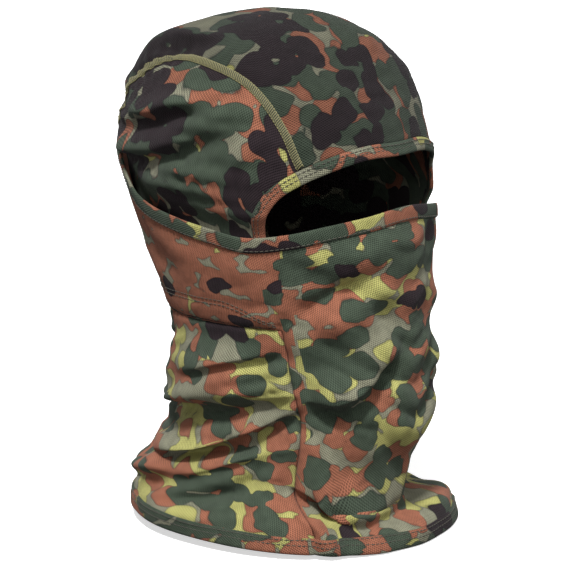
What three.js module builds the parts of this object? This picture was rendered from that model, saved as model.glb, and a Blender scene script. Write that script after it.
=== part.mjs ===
import * as THREE from 'three';

// Balaclava: an inner hood of three panels inside an outer tube that masks the face and neck.
// Millimetres, +Z up, the face looks along -Y, the wearer's right is -X.
// The model is laid out on heights above the bottom hem, then hung on its head mount.

// ---- overall sizes -------------------------------------------------------------------------
const TOTAL_HEIGHT = 293.5; // bottom hem to the top of the crown
const HEAD_LENGTH = 191; // brow to the back of the head, over the cloth
const HEAD_WIDTH = 158; // over the ears, over the cloth
const HEAD_MOUNT_HEIGHT = 150; // centre of the wearer's head above the bottom hem

// ---- cloth, hems and seams -----------------------------------------------------------------
const CLOTH = 1.2; // one layer of knit
const FOLD = 2.2; // knit folded over on itself in a hem or facing
const MASK_HEM_HEIGHT = 8; // folded top edge of the mask
const BOTTOM_HEM_HEIGHT = 8; // folded bottom edge of the neck
const FACING_WIDTH = 7.5; // folded edge round the face opening
const SEAM_TAPE_WIDTH = 4; // flatlock seam over the crown
const SEAM_TAPE = 0.8; // its thickness
const ALLOWANCE_WIDTH = 6; // seam allowance left inside the tube
const ALLOWANCE = 1; // its thickness
const STITCH_WIDTH = 1; // one row of thread
const STITCH_SPACING = 2.6; // between two rows of one coverstitch
const SKIRT_STITCH_RISE = 1.4; // lower row of the bottom hem's coverstitch above the fold's edge

// ---- clearances ----------------------------------------------------------------------------
const EDGE_GAP = 0.4; // where two pieces are sewn edge to edge
const PANEL_GAP = 1; // between the hood's panels, under the crown seam tape
const FACING_GAP = 1; // between the facing and the panels, under the facing's stitches
const LAYER_GAP = 3.2; // free space between the hood and the tube round it
const TRIM_GAP = 0.6; // under thread and tape, and over seam allowances
const MASK_CLEARANCE = 0.8; // between the mask and the neck cloth that it slides down over

// ---- landmarks, as heights above the bottom hem at the reference size ------------------------
const BAND_SEAM = 124; // lower edge of the band behind the ears
const NAPE_SEAM = 136; // the hood's lower edge, caught by the band's coverstitch
const MASK_SPLIT = 134; // below this height the front cloth stays where it is
const NECK_INSET_FADE = 46; // height over which the neck front comes back out to the surface

// ---- the head form --------------------------------------------------------------------------
// Height, reach to the front, reach to the back and half width of the outermost cloth.
const SQUARENESS = 2.2; // exponent of the superellipse sections
const FORM = [
  [0, 103, 86, 91],
  [14, 97, 88, 84],
  [28, 78, 88, 74],
  [42, 81, 80, 66],
  [58, 90, 66, 62],
  [78, 94, 61, 62],
  [100, 93.5, 60, 64],
  [124, 91.5, 62, 69],
  [148, 89, 74, 74],
  [172, 88, 89, 77],
  [194, 86.5, 100, 78.5],
  [215, 82.5, 104.5, 79],
  [234, 74.5, 101, 77.5],
  [252, 63, 93, 72.5],
  [268, 49, 81, 63.5],
  [281, 34, 63, 50],
  [290, 17, 37, 29],
  [293.5, 0, 0, 0],
];
const FORM_HEIGHT = FORM.at(-1)[0];
const FORM_LENGTH = 191;
const FORM_WIDTH = 158;
const tall = TOTAL_HEIGHT / FORM_HEIGHT;
const long = HEAD_LENGTH / FORM_LENGTH;
const wide = HEAD_WIDTH / FORM_WIDTH;

// ---- lines drawn on the form: angle from the front towards the right ear, and height -----------
const MASK_EDGE = [[0, 186], [20, 183], [37, 179.5], [53, 175.5], [70, 173], [84, 177],
  [97, 182], [115, 190], [133, 207], [155, 216], [180, 218]];
const FACE_OPENING = [[0, 215], [16, 215], [28, 212], [39, 207.5], [47, 203], [54, 197.5],
  [58.5, 191.5], [62, 183.5], [63, 174.5], [62, 162], [60.5, 149], [60, NAPE_SEAM + 1]];
const CROWN_SEAM = [[43.5, 220], [48.8, 237], [61.5, 256], [85, 266.5], [107, 269.5],
  [125, 259.5], [140, 236], [150, 208], [155, 175], [158, 150], [159, NAPE_SEAM + 1]];
const SIDE_SEAM = [[56, 132], [55, 83], [53.5, 53], [51.8, 42], [46, 25], [44, 8]];
const CROWN_SEAM_START = 0.4; // where the seam leaves the facing, along the right half of it

// ---- facets: columns run along a piece, rows across it ------------------------------------------
const SEAM_COLUMNS = 30; // along the crown seam, shared by the panels on both sides of it
const CROWN_ROWS = 8;
const FACING_COLUMNS = 44;
const FRONT_COLUMNS = 14; // of the mask and the neck front, between the side seams
const BACK_COLUMNS = 32; // round the nape between the side seams
const NECK_BACK_COLUMNS = 30;
const HALF_BAND_COLUMNS = 16;
const BAND_ROWS = 5;
const NECK_FRONT_ROWS = 12;
const NECK_BACK_ROWS = 11;
const SIDE_SEAM_ROWS = 9;
const ALLOWANCE_COLUMNS = 2;
const CENTRE_BACK_ROWS = 4;
const BOTTOM_COLUMNS = 48; // round the bottom hem

// ---- materials --------------------------------------------------------------------------------
function knit(name, colour) {
  return new THREE.MeshStandardMaterial({ name, color: colour, roughness: 0.9, metalness: 0 });
}
const KNIT = knit('camo_knit', 0x5e5a46);
const HOOD_KNIT = knit('camo_knit_hood', 0x4a4a3c);
const HEM_KNIT = knit('camo_knit_hem', 0x6b5544);
const THREAD = knit('olive_thread', 0x6f6c48);

// ---- small helpers ------------------------------------------------------------------------------
const mix = (a, b, k) => a + (b - a) * k;
const radians = THREE.MathUtils.degToRad;
const smooth = THREE.MathUtils.smoothstep;

function catmull(a, b, c, d, k) {
  return 0.5 * (2 * b + (c - a) * k + (2 * a - 5 * b + 4 * c - d) * k * k
    + (3 * b - a - 3 * c + d) * k * k * k);
}

// A point on the curve through rows, for a place from 0 to rows.length - 1.
function through(rows, place, before, after) {
  const last = rows.length - 1;
  const index = Math.min(Math.max(Math.floor(place), 0), last - 1);
  const row = (i) => (i < 0 ? before : i > last ? after : rows[i]);
  return rows[0].map((_, column) => catmull(
    row(index - 1)[column], row(index)[column], row(index + 1)[column], row(index + 2)[column],
    place - index));
}

function mirrorEnd(end, next) {
  return end.map((value, column) => 2 * value - next[column]);
}

// ---- the surface ----------------------------------------------------------------------------------
const belowForm = mirrorEnd(FORM[0], FORM[1]);
const [underHeight, underFront, underBack, underHalf] = FORM.at(-2);
const beyondForm = [underHeight, -underBack, -underFront, -underHalf];

// Reach to the front, to the back and to the side at one height.
function section(height) {
  let low = 0;
  let high = FORM.length - 1;
  for (let step = 0; step < 26; step += 1) {
    const middle = (low + high) / 2;
    if (through(FORM, middle, belowForm, beyondForm)[0] * tall < height) low = middle;
    else high = middle;
  }
  const [, front, back, half] = through(FORM, (low + high) / 2, belowForm, beyondForm);
  return { front: front * long, back: back * long, half: half * wide };
}

// The surface point at an angle in degrees and a height.
function onForm(angle, height) {
  const { front, back, half } = section(height);
  const sine = Math.sin(radians(angle));
  const cosine = Math.cos(radians(angle));
  const power = 2 / SQUARENESS;
  const x = -Math.sign(sine) * Math.abs(sine) ** power * half;
  const reach = cosine > 0 ? -front : back;
  return new THREE.Vector3(x, Math.abs(cosine) ** power * reach, height);
}

function scaledPoint([angle, height]) {
  return onForm(angle, height * tall);
}

// Below 1 inside the surface, above 1 outside.
function level(point) {
  if (point.z >= TOTAL_HEIGHT) return 9;
  const { front, back, half } = section(point.z);
  const reach = point.y < 0 ? front : back;
  return (Math.abs(point.x) / half) ** SQUARENESS + (Math.abs(point.y) / reach) ** SQUARENESS;
}

function normalAt(point) {
  const step = 0.4;
  const slope = (axis) => {
    const ahead = point.clone();
    const behind = point.clone();
    ahead[axis] += step;
    behind[axis] -= step;
    return level(ahead) - level(behind);
  };
  return new THREE.Vector3(slope('x'), slope('y'), slope('z')).normalize();
}

// The angle and height of a surface point.
function angleOf(point) {
  const { front, back, half } = section(point.z);
  const reach = point.y < 0 ? front : back;
  const sine = (Math.abs(point.x) / half) ** (SQUARENESS / 2) * -Math.sign(point.x);
  const cosine = (Math.abs(point.y) / reach) ** (SQUARENESS / 2) * -Math.sign(point.y);
  return THREE.MathUtils.radToDeg(Math.atan2(sine, cosine));
}

// A point near the surface, moved onto it along the line from the middle of the head.
const headMiddle = new THREE.Vector3(0, 6 * long, 175 * tall);
function project(point) {
  const direction = point.clone().sub(headMiddle).normalize();
  let low = 20;
  let high = TOTAL_HEIGHT;
  for (let step = 0; step < 24; step += 1) {
    const middle = (low + high) / 2;
    const trial = headMiddle.clone().addScaledVector(direction, middle);
    if (level(trial) < 1) low = middle;
    else high = middle;
  }
  return headMiddle.clone().addScaledVector(direction, (low + high) / 2);
}

// ---- lines -----------------------------------------------------------------------------------------
function maskEdge(angle) {
  const turn = Math.abs(((angle + 540) % 360) - 180);
  const row = MASK_EDGE.findIndex(([limit]) => limit >= turn);
  const index = Math.max(row, 1);
  const place = index - 1 + (turn - MASK_EDGE[index - 1][0])
    / (MASK_EDGE[index][0] - MASK_EDGE[index - 1][0]);
  return through(MASK_EDGE, place, MASK_EDGE[1], MASK_EDGE.at(-2))[1] * tall;
}

// A curve on the surface through a list of angles and heights, k from 0 to 1.
function lineThrough(rows) {
  const points = rows.map(scaledPoint);
  const curve = new THREE.CatmullRomCurve3(points, false, 'centripetal');
  return (k) => curve.getPointAt(THREE.MathUtils.clamp(k, 0, 1));
}

const mirrored = (rows) => rows.map(([angle, height]) => [-angle, height]);
const openingWhole = lineThrough([...mirrored(FACE_OPENING).reverse(), ...FACE_OPENING.slice(1)]);

// A point beside a curve, a distance to its right as seen from outside, on the surface.
function beside(curve, k, across) {
  const step = 0.004;
  const point = curve(k);
  const along = curve(Math.min(k + step, 1)).sub(curve(Math.max(k - step, 0))).normalize();
  const sideways = along.cross(normalAt(point)).normalize();
  return project(point.clone().addScaledVector(sideways, across));
}

// The panels' edge along the facing on the right half, from the brow down to the nape seam.
const facingEdge = (k) => beside(openingWhole, 0.5 + k / 2, FACING_WIDTH + FACING_GAP);

function crownSeam(side) {
  const start = facingEdge(CROWN_SEAM_START);
  const points = [start, ...CROWN_SEAM.map(scaledPoint)];
  if (side < 0) points.forEach((point) => { point.x *= -1; });
  const curve = new THREE.CatmullRomCurve3(points, false, 'centripetal');
  return (k) => project(curve.getPointAt(THREE.MathUtils.clamp(k, 0, 1)));
}
const seamRight = crownSeam(1);
const seamLeft = crownSeam(-1);
const SEAM_CORNER = 0.7; // where the crown seam turns from the top of the head down its back
const TAPE_START = 0.01; // the seam's tape begins this far along it, clear of the facing's thread

// Half the gap between the hood's panels, as a share of the facing's half and as an angle.
const openingHalf = new THREE.CatmullRomCurve3(FACE_OPENING.map(scaledPoint)).getLength();
const gapShare = PANEL_GAP / 2 / openingHalf;
const gapTurn = THREE.MathUtils.radToDeg(PANEL_GAP / HEAD_LENGTH);
const napeAngle = CROWN_SEAM.at(-1)[0];

// How far the hood lies inside the surface: nothing above the mask, one layer and a gap under it.
const HOOD_FADE = 14;
function hoodInset(point) {
  const depth = maskEdge(angleOf(point)) - point.z;
  return (CLOTH + LAYER_GAP) * smooth(depth, -HOOD_FADE, 0);
}

// ---- closed shells -----------------------------------------------------------------------------------
// A sheet over u and v from 0 to 1. surface(u, v) is on the form; the sheet's outer face lies
// lift above it and its inner face a wall below that. A ring closes on itself along u, and an
// upright sheet takes its thickness along the level, not square to the form.
function sheet(name, material, surface, columns, rows, {
  lift = 0, wall = CLOTH, ring = false, upright = false,
} = {}) {
  const positions = [];
  const acrossCount = ring ? columns : columns + 1;
  for (let i = 0; i < acrossCount; i += 1) {
    for (let j = 0; j <= rows; j += 1) {
      const point = surface(i / columns, j / rows);
      const normal = normalAt(point);
      if (upright) normal.setZ(0).normalize();
      const outside = typeof lift === 'function' ? lift(point) : lift;
      for (const distance of [outside, outside - wall]) {
        positions.push(...point.clone().addScaledVector(normal, distance).toArray());
      }
    }
  }
  const at = (i, j, inner) => (((i % acrossCount) * (rows + 1)) + j) * 2 + inner;
  const triangles = [];
  const quad = (a, b, c, d) => triangles.push(a, b, c, a, c, d);
  for (let i = 0; i < columns; i += 1) {
    for (let j = 0; j < rows; j += 1) {
      quad(at(i, j, 0), at(i + 1, j, 0), at(i + 1, j + 1, 0), at(i, j + 1, 0));
      quad(at(i, j, 1), at(i, j + 1, 1), at(i + 1, j + 1, 1), at(i + 1, j, 1));
    }
    quad(at(i, 0, 0), at(i, 0, 1), at(i + 1, 0, 1), at(i + 1, 0, 0));
    quad(at(i, rows, 0), at(i + 1, rows, 0), at(i + 1, rows, 1), at(i, rows, 1));
  }
  for (let j = 0; j < rows && !ring; j += 1) {
    quad(at(0, j, 0), at(0, j + 1, 0), at(0, j + 1, 1), at(0, j, 1));
    quad(at(columns, j, 0), at(columns, j, 1), at(columns, j + 1, 1), at(columns, j + 1, 0));
  }
  if (signedVolume(positions, triangles) < 0) triangles.reverse();
  const geometry = new THREE.BufferGeometry();
  geometry.setAttribute('position', new THREE.Float32BufferAttribute(positions, 3));
  geometry.setIndex(triangles);
  geometry.computeVertexNormals();
  const mesh = new THREE.Mesh(geometry, material);
  mesh.name = name;
  return mesh;
}

function signedVolume(positions, triangles) {
  const corner = (index) => new THREE.Vector3().fromArray(positions, index * 3);
  let volume = 0;
  for (let i = 0; i < triangles.length; i += 3) {
    const [a, b, c] = [0, 1, 2].map((offset) => corner(triangles[i + offset]));
    volume += a.dot(b.cross(c));
  }
  return volume;
}

// A four-sided patch between two curves along u and two along v, pressed onto the surface.
function patch(bottom, top, start, end) {
  const corners = [bottom(0), bottom(1), top(0), top(1)];
  return (u, v) => {
    const point = new THREE.Vector3()
      .addScaledVector(bottom(u), 1 - v)
      .addScaledVector(top(u), v)
      .addScaledVector(start(v), 1 - u)
      .addScaledVector(end(v), u)
      .addScaledVector(corners[0], -(1 - u) * (1 - v))
      .addScaledVector(corners[1], -u * (1 - v))
      .addScaledVector(corners[2], -(1 - u) * v)
      .addScaledVector(corners[3], -u * v);
    return project(point);
  };
}

// A part of the tube between two angles and two heights, each given as a function.
function tube(angleFrom, angleTo, heightFrom, heightTo) {
  return (u, v) => {
    let angle = mix(angleFrom(0), angleTo(0), u);
    let height = mix(heightFrom(angle), heightTo(angle), v);
    angle = mix(angleFrom(height), angleTo(height), u);
    height = mix(heightFrom(angle), heightTo(angle), v);
    return onForm(angle, height);
  };
}

const fixed = (value) => () => value;
const raised = (line, rise) => (angle) => line(angle) + rise;

// ---- the hood -------------------------------------------------------------------------------------
const trimLift = (thickness) => (point) => TRIM_GAP + thickness - hoodInset(point);
const hoodLift = (point) => -hoodInset(point);
const nape = CROWN_SEAM.at(-1)[1] * tall;

function hoodCrown() {
  const front = (k) => {
    const point = facingEdge(Math.abs(2 * k - 1) * (CROWN_SEAM_START - gapShare));
    point.x = Math.abs(point.x) * (k < 0.5 ? 1 : -1);
    return point;
  };
  const back = (k) => onForm(mix(-napeAngle - gapTurn, napeAngle + gapTurn - 360, k), nape);
  const inward = PANEL_GAP / 2;
  const right = (k) => beside(seamRight, k, inward);
  const left = (k) => beside(seamLeft, k, -inward);
  const surface = patch(left, right, front, back);
  return sheet('crown_panel', HOOD_KNIT, surface, SEAM_COLUMNS, CROWN_ROWS, { lift: hoodLift });
}

function hoodSide(name, side) {
  const flip = (point) => new THREE.Vector3(point.x * side, point.y, point.z);
  const clear = (k) => flip(beside(seamRight, k, -PANEL_GAP / 2));
  const front = (k) => flip(facingEdge(mix(1, CROWN_SEAM_START + gapShare, k)));
  const top = (k) => clear(k * SEAM_CORNER);
  const back = (k) => clear(mix(1, SEAM_CORNER, k));
  const foot = front(0);
  const bottom = (k) => {
    const angle = mix(angleOf(flip(foot)), napeAngle - gapTurn, k);
    const height = mix(foot.z, back(0).z, k);
    return flip(onForm(angle, height));
  };
  const columns = Math.round(SEAM_COLUMNS * SEAM_CORNER);
  const surface = patch(bottom, top, front, back);
  return sheet(name, HOOD_KNIT, surface, columns, SEAM_COLUMNS - columns, { lift: hoodLift });
}

// A strip along a curve: from and to are distances beside it, start is where it begins.
function strip(curve, from, to, start = 0) {
  return (u, v) => beside(curve, mix(start, 1, u), mix(from, to, v));
}

function facingStitch(name, across, lift) {
  const half = STITCH_WIDTH / 2;
  const surface = strip(openingWhole, across - half, across + half);
  return sheet(name, THREAD, surface, FACING_COLUMNS, 1, { lift, wall: half });
}

function hood() {
  const group = new THREE.Group();
  group.add(hoodCrown());
  for (const [side, word] of [[1, 'right'], [-1, 'left']]) {
    group.add(hoodSide(`hood_side_${word}`, side));
    const seam = side > 0 ? seamRight : seamLeft;
    const half = SEAM_TAPE_WIDTH / 2;
    const tape = strip(seam, -half, half, TAPE_START);
    group.add(sheet(`crown_seam_${word}`, THREAD, tape, SEAM_COLUMNS, 1, {
      lift: trimLift(SEAM_TAPE), wall: SEAM_TAPE,
    }));
  }
  const facingLift = (point) => (FOLD - CLOTH) / 2 - hoodInset(point);
  const facing = strip(openingWhole, 0, FACING_WIDTH);
  group.add(sheet('face_facing', HEM_KNIT, facing, FACING_COLUMNS, 1, {
    lift: facingLift, wall: FOLD,
  }));
  const rowLift = (point) => facingLift(point) + TRIM_GAP + STITCH_WIDTH / 2;
  const outer = FACING_WIDTH - STITCH_WIDTH * 1.5;
  group.add(facingStitch('facing_stitch_outer', outer, rowLift));
  group.add(facingStitch('facing_stitch_inner', outer - STITCH_SPACING, rowLift));
  return group;
}

// ---- the tube ---------------------------------------------------------------------------------------
const seamRows = SIDE_SEAM.map(([angle, height]) => [angle, height * tall]);

// The side seam's angle at a height.
function sideSeam(height) {
  const top = seamRows[0];
  const bottom = seamRows.at(-1);
  if (height >= top[1]) return top[0];
  if (height <= bottom[1]) return bottom[0];
  const index = seamRows.findIndex(([, limit]) => limit <= height);
  const [above, below] = [seamRows[index - 1], seamRows[index]];
  return mix(below[0], above[0], (height - below[1]) / (above[1] - below[1]));
}

const gapAngle = THREE.MathUtils.radToDeg(EDGE_GAP / (HEAD_WIDTH / 2));
const seamAngle = SIDE_SEAM[0][0];
const split = MASK_SPLIT * tall;
const bandFoot = BAND_SEAM * tall;
const maskFoot = (angle) => maskEdge(angle) - MASK_HEM_HEIGHT;
const hemLift = (FOLD - CLOTH) / 2;
const upright = { upright: true };

// The neck cloth under the mask is drawn in, so that the mask passes over it.
function neckInset(point) {
  return -(CLOTH + MASK_CLEARANCE) * smooth(point.z, split - NECK_INSET_FADE * tall, split);
}

function mask() {
  const group = new THREE.Group();
  const [from, to] = [fixed(-seamAngle + gapAngle), fixed(seamAngle - gapAngle)];
  const front = tube(from, to, fixed(split), raised(maskFoot, -EDGE_GAP));
  group.add(sheet('mask_front', KNIT, front, FRONT_COLUMNS, BAND_ROWS, upright));
  const hem = tube(from, to, maskFoot, maskEdge);
  group.add(sheet('mask_hem_front', HEM_KNIT, hem, FRONT_COLUMNS, 1, {
    ...upright, wall: FOLD, lift: hemLift,
  }));
  const row = tube(from, to, raised(maskFoot, STITCH_WIDTH / 2),
    raised(maskFoot, STITCH_WIDTH * 1.5));
  group.add(sheet('mask_hem_stitch_front', THREAD, row, FRONT_COLUMNS, 1, {
    ...upright, wall: STITCH_WIDTH / 2, lift: hemLift + TRIM_GAP + STITCH_WIDTH / 2,
  }));
  return group;
}

function band() {
  const group = new THREE.Group();
  const centre = gapAngle / 2;
  for (const [side, word] of [[1, 'right'], [-1, 'left']]) {
    const from = fixed(side * (seamAngle + gapAngle));
    const to = fixed(side * (180 - centre));
    const panel = tube(from, to, fixed(bandFoot + EDGE_GAP), raised(maskFoot, -EDGE_GAP));
    group.add(sheet(`mask_band_${word}`, KNIT, panel, HALF_BAND_COLUMNS, BAND_ROWS, upright));
  }
  const [start, end] = [fixed(seamAngle + gapAngle), fixed(360 - seamAngle - gapAngle)];
  const hem = tube(start, end, maskFoot, maskEdge);
  group.add(sheet('mask_hem_back', HEM_KNIT, hem, BACK_COLUMNS, 1, {
    ...upright, wall: FOLD, lift: hemLift,
  }));
  const rows = [
    ['mask_hem_stitch_back', raised(maskFoot, STITCH_WIDTH), hemLift],
    ['band_stitch_upper', fixed(NAPE_SEAM * tall + STITCH_SPACING), 0],
    ['band_stitch_lower', fixed(NAPE_SEAM * tall), 0],
  ];
  for (const [name, line, lift] of rows) {
    const row = tube(start, end, raised(line, -STITCH_WIDTH / 2), raised(line, STITCH_WIDTH / 2));
    group.add(sheet(name, THREAD, row, BACK_COLUMNS, 1, {
      ...upright, wall: STITCH_WIDTH / 2, lift: lift + TRIM_GAP + STITCH_WIDTH / 2,
    }));
  }
  const tucked = -(CLOTH + LAYER_GAP);
  const caught = tube(start, end, fixed(bandFoot), fixed(NAPE_SEAM * tall));
  group.add(sheet('nape_seam_allowance', HOOD_KNIT, caught, BACK_COLUMNS, 1, {
    ...upright, wall: CLOTH, lift: tucked,
  }));
  const half = THREE.MathUtils.radToDeg(ALLOWANCE_WIDTH / 2 / (HEAD_LENGTH / 2));
  const back = tube(fixed(180 - half), fixed(180 + half), fixed(bandFoot + EDGE_GAP),
    raised(maskFoot, -EDGE_GAP));
  group.add(sheet('centre_back_allowance', KNIT, back, ALLOWANCE_COLUMNS, CENTRE_BACK_ROWS, {
    ...upright, wall: ALLOWANCE, lift: -CLOTH - TRIM_GAP,
  }));
  return group;
}

function neck() {
  const group = new THREE.Group();
  const floor = BOTTOM_HEM_HEIGHT + EDGE_GAP;
  const front = tube((height) => -sideSeam(height) + gapAngle,
    (height) => sideSeam(height) - gapAngle, fixed(floor), fixed(split - EDGE_GAP));
  group.add(sheet('neck_front_panel', KNIT, front, FRONT_COLUMNS, NECK_FRONT_ROWS, {
    ...upright, lift: neckInset,
  }));
  const back = tube((height) => sideSeam(height) + gapAngle,
    (height) => 360 - sideSeam(height) - gapAngle, fixed(floor), fixed(bandFoot));
  group.add(sheet('neck_back_panel', KNIT, back, NECK_BACK_COLUMNS, NECK_BACK_ROWS, upright));
  const buried = -(CLOTH * 2 + MASK_CLEARANCE + TRIM_GAP);
  for (const [side, word] of [[1, 'right'], [-1, 'left']]) {
    const reach = THREE.MathUtils.radToDeg(ALLOWANCE_WIDTH / HEAD_WIDTH);
    const seam = tube((height) => side * (sideSeam(height) - reach),
      (height) => side * (sideSeam(height) + reach),
      fixed(floor + ALLOWANCE), fixed(bandFoot - EDGE_GAP));
    group.add(sheet(`side_seam_${word}`, KNIT, seam, ALLOWANCE_COLUMNS, SIDE_SEAM_ROWS, {
      ...upright, wall: ALLOWANCE, lift: buried,
    }));
  }
  return group;
}

function bottomHem() {
  const group = new THREE.Group();
  const [from, to] = [fixed(0), fixed(360)];
  const hem = tube(from, to, fixed(0), fixed(BOTTOM_HEM_HEIGHT));
  group.add(sheet('bottom_hem', HEM_KNIT, hem, BOTTOM_COLUMNS, 1, {
    ...upright, wall: FOLD, lift: hemLift, ring: true,
  }));
  const lower = BOTTOM_HEM_HEIGHT - SKIRT_STITCH_RISE - STITCH_SPACING;
  for (const [word, height] of [['upper', lower + STITCH_SPACING], ['lower', lower]]) {
    const row = tube(from, to, fixed(height - STITCH_WIDTH / 2), fixed(height + STITCH_WIDTH / 2));
    group.add(sheet(`bottom_hem_stitch_${word}`, THREAD, row, BOTTOM_COLUMNS, 1, {
      ...upright, wall: STITCH_WIDTH / 2, lift: hemLift + TRIM_GAP + STITCH_WIDTH / 2, ring: true,
    }));
  }
  return group;
}

const group = new THREE.Group();
group.add(hood(), mask(), band(), neck(), bottomHem());
group.position.z = -HEAD_MOUNT_HEIGHT;

export default group;
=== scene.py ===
"""A camouflage balaclava: a hood of three panels inside a tube that masks the face and neck."""

import math

import bmesh
import bpy
import numpy as np
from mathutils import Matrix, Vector


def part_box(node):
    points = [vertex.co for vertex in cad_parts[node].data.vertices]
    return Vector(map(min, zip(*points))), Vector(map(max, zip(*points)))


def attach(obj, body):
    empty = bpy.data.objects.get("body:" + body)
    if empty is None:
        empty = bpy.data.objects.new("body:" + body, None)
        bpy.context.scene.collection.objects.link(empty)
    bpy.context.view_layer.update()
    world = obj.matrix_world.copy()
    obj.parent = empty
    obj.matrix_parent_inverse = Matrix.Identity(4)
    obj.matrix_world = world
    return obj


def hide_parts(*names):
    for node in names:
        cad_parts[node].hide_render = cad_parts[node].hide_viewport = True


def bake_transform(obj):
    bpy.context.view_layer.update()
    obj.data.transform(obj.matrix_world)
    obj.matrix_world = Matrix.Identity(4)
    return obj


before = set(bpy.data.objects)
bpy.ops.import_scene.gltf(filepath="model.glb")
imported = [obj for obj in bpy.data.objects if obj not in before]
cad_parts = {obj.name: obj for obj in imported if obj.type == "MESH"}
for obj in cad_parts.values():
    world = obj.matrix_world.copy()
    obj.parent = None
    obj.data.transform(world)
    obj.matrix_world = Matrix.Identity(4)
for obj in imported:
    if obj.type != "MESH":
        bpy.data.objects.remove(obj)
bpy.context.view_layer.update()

# ---- sizes, millimetres; heights are above the bottom hem ----------------------------------------
HEM_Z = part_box("bottom_hem")[0].z
TALL = (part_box("crown_panel")[1].z - HEM_Z) * 1000 / 293.3
CLOTH = 0.8  # one layer of knit
MASK_HEM = 8.0
BOTTOM_HEM = 8.0
FACING = 7.5
HOOD_INSET = 4.9  # the hood lies this far inside the tube that covers it
HOOD_FADE = 14.0
CHEEK_TURN = 15.0  # degrees
BAND_SEAM = 124.0
NAPE_SEAM = 136.0
STITCH_PITCH = 2.9
THREAD_RADIUS = 0.27
SEAM_CORNER = 0.7  # where the crown seam turns from the top of the head down its back
CROWN_SEAM_START = 0.43  # where it leaves the facing
SQUARENESS = 2.2

# Height, reach to the front, reach to the back and half width of the outermost cloth.
FORM = [
    (0, 103, 86, 91), (14, 97, 88, 84), (28, 78, 88, 74), (42, 81, 80, 66), (58, 90, 66, 62),
    (78, 94, 61, 62), (100, 93.5, 60, 64), (124, 91.5, 62, 69), (148, 89, 74, 74),
    (172, 88, 89, 77), (194, 86.5, 100, 78.5), (215, 82.5, 104.5, 79), (234, 74.5, 101, 77.5),
    (252, 63, 93, 72.5), (268, 49, 81, 63.5), (281, 34, 63, 50), (290, 17, 37, 29),
    (293.5, 0, 0, 0),
]
# Lines on the form: angle from the front towards the right ear, and height.
MASK_EDGE = [(0, 190), (20, 187), (37, 183.5), (53, 179), (70, 176), (84, 179), (97, 183.5),
             (115, 191), (133, 207), (155, 216), (180, 218)]
FACE_OPENING = [(0, 217.5), (16, 217.5), (28, 214.5), (39, 210), (47, 205.5), (54, 200),
                (58.5, 194), (62, 185.5), (63, 176), (62, 163), (60.5, 149), (60, 137)]
CROWN_SEAM = [(47, 221), (50.5, 237), (61.5, 256), (85, 266.5), (107, 269.5), (125, 259.5),
              (140, 236), (150, 208), (155, 175), (158, 150), (159, 137)]
# The side seams, right and mirrored left: height, and angle from the front.
SIDE_SEAM = [(8, 44), (25, 46), (42, 52), (53, 54.5), (83, 58), (105, 60), (132, 61)]


def from_front(angle):
    """How far an angle is from the front, 0 to 180 degrees."""
    return np.abs((np.asarray(angle, float) + 540) % 360 - 180)


def smooth(value, low, high):
    share = np.clip((value - low) / (high - low), 0, 1)
    return share * share * (3 - 2 * share)


def catmull(rows, before, after, count):
    """The Catmull-Rom curve through rows, with count points."""
    rows = np.array([before, *rows, after], float)
    place = np.linspace(0, len(rows) - 3, count)
    index = np.minimum(place.astype(int), len(rows) - 4)
    k = (place - index)[:, None]
    a, b, c, d = (rows[index + step] for step in range(4))
    return 0.5 * (2 * b + (c - a) * k + (2 * a - 5 * b + 4 * c - d) * k**2
                  + (3 * b - a - 3 * c + d) * k**3)


def mirror_end(end, following):
    return 2 * np.array(end, float) - np.array(following, float)


# ---- the form ------------------------------------------------------------------------------------
under = FORM[-2]
SECTIONS = catmull(FORM, mirror_end(FORM[0], FORM[1]),
                   (under[0], -under[2], -under[1], -under[3]), 4000)
SECTIONS[:, 0] *= TALL
CROWN_TOP = SECTIONS[-1, 0]


def section(height):
    return [np.interp(height, SECTIONS[:, 0], SECTIONS[:, column]) for column in (1, 2, 3)]


def on_form(angle, height):
    """Points on the form at angles in degrees and heights."""
    angle, height = np.broadcast_arrays(np.asarray(angle, float), np.asarray(height, float))
    front, back, half = section(height)
    sine, cosine = np.sin(np.radians(angle)), np.cos(np.radians(angle))
    power = 2 / SQUARENESS
    x = -np.sign(sine) * np.abs(sine) ** power * half
    y = np.abs(cosine) ** power * np.where(cosine > 0, -front, back)
    return np.stack([x, y, height], -1)


def level(points):
    """Below 1 inside the form, above 1 outside."""
    front, back, half = section(points[..., 2])
    reach = np.maximum(np.where(points[..., 1] < 0, front, back), 1e-3)
    value = (np.abs(points[..., 0]) / np.maximum(half, 1e-3)) ** SQUARENESS
    value += (np.abs(points[..., 1]) / reach) ** SQUARENESS
    return np.where(points[..., 2] >= CROWN_TOP, 9.0, np.minimum(value, 9.0))


def normals_at(points):
    slopes = []
    for axis in range(3):
        step = np.zeros(3)
        step[axis] = 0.4
        slopes.append(level(points + step) - level(points - step))
    return unit(np.stack(slopes, -1))


def unit(vectors):
    return vectors / np.maximum(np.linalg.norm(vectors, axis=-1, keepdims=True), 1e-12)


def angle_of(points):
    front, back, half = section(points[..., 2])
    reach = np.maximum(np.where(points[..., 1] < 0, front, back), 1e-3)
    power = SQUARENESS / 2
    sine = (np.abs(points[..., 0]) / np.maximum(half, 1e-3)) ** power * -np.sign(points[..., 0])
    cosine = (np.abs(points[..., 1]) / reach) ** power * -np.sign(points[..., 1])
    return np.degrees(np.arctan2(sine, cosine))


HEAD_MIDDLE = np.array([0, 6, 175])


def project(points):
    """Moves points near the form onto it, along lines from the middle of the head."""
    ray = unit(points - HEAD_MIDDLE)
    low = np.full(points.shape[:-1], 20.0)
    high = np.full(points.shape[:-1], 300.0)
    for _ in range(26):
        middle = (low + high) / 2
        inside = level(HEAD_MIDDLE + ray * middle[..., None]) < 1
        low = np.where(inside, middle, low)
        high = np.where(inside, high, middle)
    return HEAD_MIDDLE + ray * low[..., None]


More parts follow.
